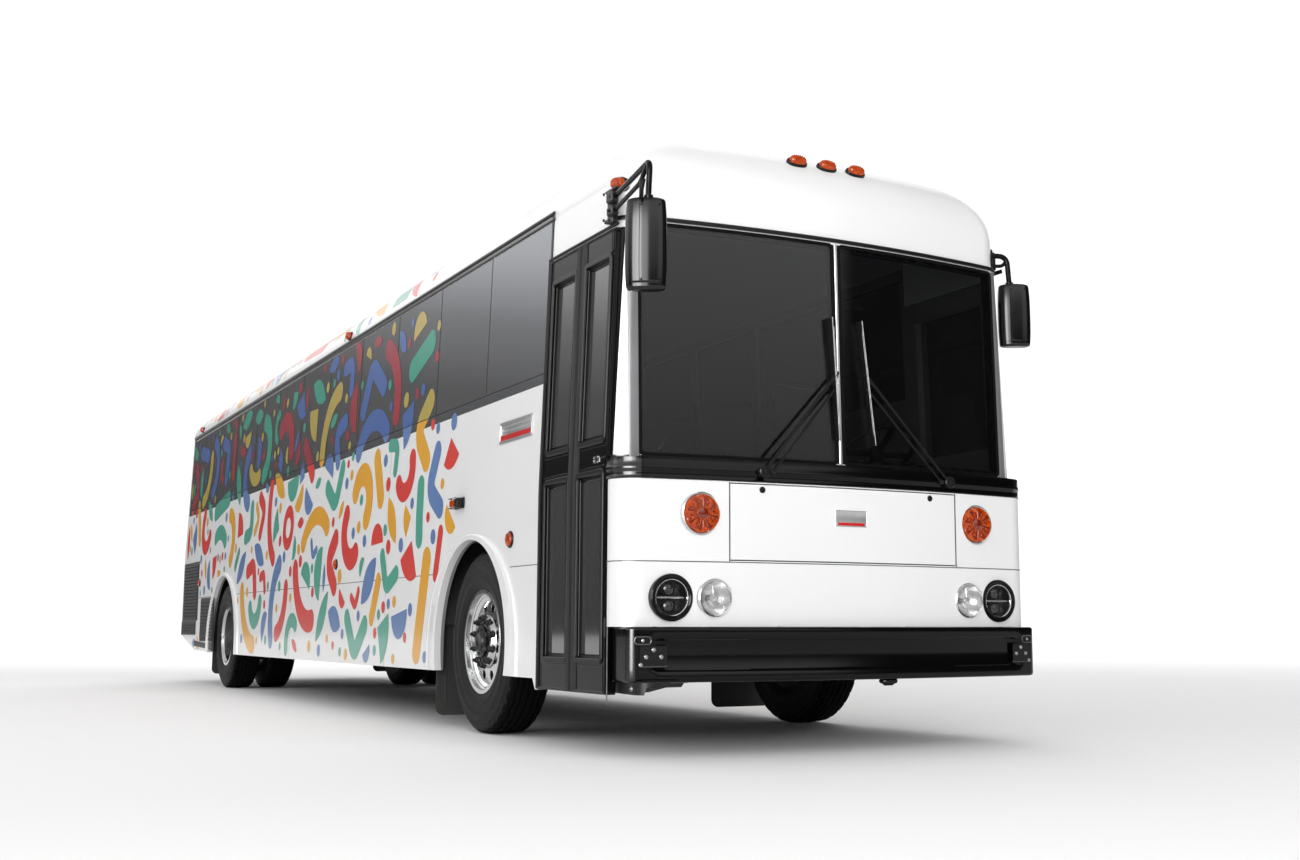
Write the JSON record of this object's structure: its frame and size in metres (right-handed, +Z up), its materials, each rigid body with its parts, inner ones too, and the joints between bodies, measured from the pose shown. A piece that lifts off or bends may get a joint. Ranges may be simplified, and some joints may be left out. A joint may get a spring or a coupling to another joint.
{
  "type": "flat-front rear-engine school bus",
  "caption": "Full-size flat-front school bus with rolling and steering wheels, folding entrance, side exit, engine door, front panel and roof hatches that open.",
  "frame": {"origin": "on the ground under the centre of the whole vehicle's box, mirrors and bumpers included", "axes": "+X forwards, +Y to the vehicle's left, +Z up"},
  "size_m": [12.54, 2.84, 3.1518],
  "materials": {
    "white_paint": "gloss",
    "black_paint": "semi-gloss",
    "frame_black": "satin",
    "tinted_glass": "gloss",
    "lamp_glass": "gloss",
    "amber_glass": "gloss",
    "tyre": "matte",
    "alloy": "polished",
    "black_rubber": "matte",
    "floor_lining": "matte",
    "black_plastic": "satin",
    "seat_vinyl": "matte",
    "cast": "rough",
    "steel": "satin"
  },
  "bodies": {
    "bus_body": {"chassis_frame": "frame_black", "dashboard": "black_plastic", "drivers_seat": "seat_vinyl", "drivers_seat_base": "frame_black", "engine": "cast", "engine_cover": "floor_lining", "entrance_steps": "floor_lining", "floor": "floor_lining", "front_axle": "cast", "front_bumper": "black_paint", "front_cap": "white_paint", "front_turn_lamps": "amber_glass", "fuel_tank": "steel", "headlamps": "lamp_glass", "left_mirror": "black_plastic", "left_side_wall": "white_paint", "left_side_windows": "tinted_glass", "lower_front_panel": "white_paint", "mud_flaps": "black_rubber", "passenger_seats": "seat_vinyl", "rear_axle": "cast", "rear_bumper": "black_paint", "rear_wall": "white_paint", "rear_window": "tinted_glass", "right_mirror": "black_plastic", "right_side_wall": "white_paint", "right_side_windows": "tinted_glass", "roof": "white_paint", "seat_frames": "frame_black", "steering_wheel": "black_plastic", "suspension": "frame_black", "wheelhouses": "frame_black", "windshield": "tinted_glass", "wiper_cowl": "black_paint", "wipers": "black_plastic"},
    "left_steering": {"left_knuckle": "cast"},
    "right_steering": {"right_knuckle": "cast"},
    "tie_rod_link": {"tie_rod": "steel"},
    "front_left_road_wheel": {"front_left_wheel": "alloy", "front_left_tyre": "tyre"},
    "front_right_road_wheel": {"front_right_wheel": "alloy", "front_right_tyre": "tyre"},
    "rear_left_road_wheels": {"rear_left_wheels": "alloy", "rear_left_tyres": "tyre"},
    "rear_right_road_wheels": {"rear_right_wheels": "alloy", "rear_right_tyres": "tyre"},
    "entrance_front_leaf": {"entrance_door_front_leaf": "black_paint"},
    "entrance_rear_leaf": {"entrance_door_rear_leaf": "black_paint"},
    "emergency_door": {"left_emergency_door": "white_paint"},
    "engine_bay_door": {"engine_door": "white_paint"},
    "front_panel": {"front_access_panel": "white_paint"},
    "front_hatch": {"front_roof_hatch": "white_paint"},
    "rear_hatch": {"rear_roof_hatch": "white_paint"}
  },
  "joints": [
    {"name": "left_steer", "type": "hinge", "parent": "bus_body", "child": "left_steering", "pos_m": [3.72, 0.87, 0.522], "axis": [0, 0, 1], "range_deg": [-40, 40]},
    {"name": "right_steer", "type": "hinge", "parent": "bus_body", "child": "right_steering", "pos_m": [3.72, -0.87, 0.522], "axis": [0, 0, 1], "range_deg": [-40, 40]},
    {"name": "tie_rod_ball", "type": "hinge", "parent": "left_steering", "child": "tie_rod_link", "pos_m": [3.53, 0.87, 0.39], "axis": [0, 0, 1], "range_deg": [-40, 40]},
    {"name": "front_left_roll", "type": "hinge", "parent": "left_steering", "child": "front_left_road_wheel", "pos_m": [3.72, 1.028, 0.522], "axis": [0, 1, 0], "continuous": true},
    {"name": "front_right_roll", "type": "hinge", "parent": "right_steering", "child": "front_right_road_wheel", "pos_m": [3.72, -1.028, 0.522], "axis": [0, 1, 0], "continuous": true},
    {"name": "rear_left_roll", "type": "hinge", "parent": "bus_body", "child": "rear_left_road_wheels", "pos_m": [-3.7, 0.8735, 0.522], "axis": [0, 1, 0], "continuous": true},
    {"name": "rear_right_roll", "type": "hinge", "parent": "bus_body", "child": "rear_right_road_wheels", "pos_m": [-3.7, -0.8735, 0.522], "axis": [0, 1, 0], "continuous": true},
    {"name": "entrance_front_leaf_hinge", "type": "hinge", "parent": "bus_body", "child": "entrance_front_leaf", "pos_m": [5.589, -1.228, 1.4], "axis": [0, 0, 1], "range_deg": [0, 92]},
    {"name": "entrance_rear_leaf_hinge", "type": "hinge", "parent": "bus_body", "child": "entrance_rear_leaf", "pos_m": [4.756, -1.228, 1.4], "axis": [0, 0, 1], "range_deg": [-92, 0]},
    {"name": "emergency_door_hinge", "type": "hinge", "parent": "bus_body", "child": "emergency_door", "pos_m": [-0.737, 1.228, 1.8], "axis": [0, 0, -1], "range_deg": [0, 100]},
    {"name": "engine_door_hinge", "type": "hinge", "parent": "bus_body", "child": "engine_bay_door", "pos_m": [-6.118, 0, 1.652], "axis": [0, 1, 0], "range_deg": [0, 85]},
    {"name": "front_panel_hinge", "type": "hinge", "parent": "bus_body", "child": "front_panel", "pos_m": [5.828, 0, 0.917], "axis": [0, 1, 0], "range_deg": [0, 90]},
    {"name": "front_hatch_hinge", "type": "hinge", "parent": "bus_body", "child": "front_hatch", "pos_m": [2.816, 0, 3.155], "axis": [0, 1, 0], "range_deg": [0, 70]},
    {"name": "rear_hatch_hinge", "type": "hinge", "parent": "bus_body", "child": "rear_hatch", "pos_m": [-2.584, 0, 3.155], "axis": [0, 1, 0], "range_deg": [0, 70]}
  ],
  "couplings": [
    {"joint": "right_steer", "follows": "left_steer", "ratio": 1},
    {"joint": "tie_rod_ball", "follows": "left_steer", "ratio": -1},
    {"joint": "entrance_rear_leaf_hinge", "follows": "entrance_front_leaf_hinge", "ratio": -1}
  ]
}
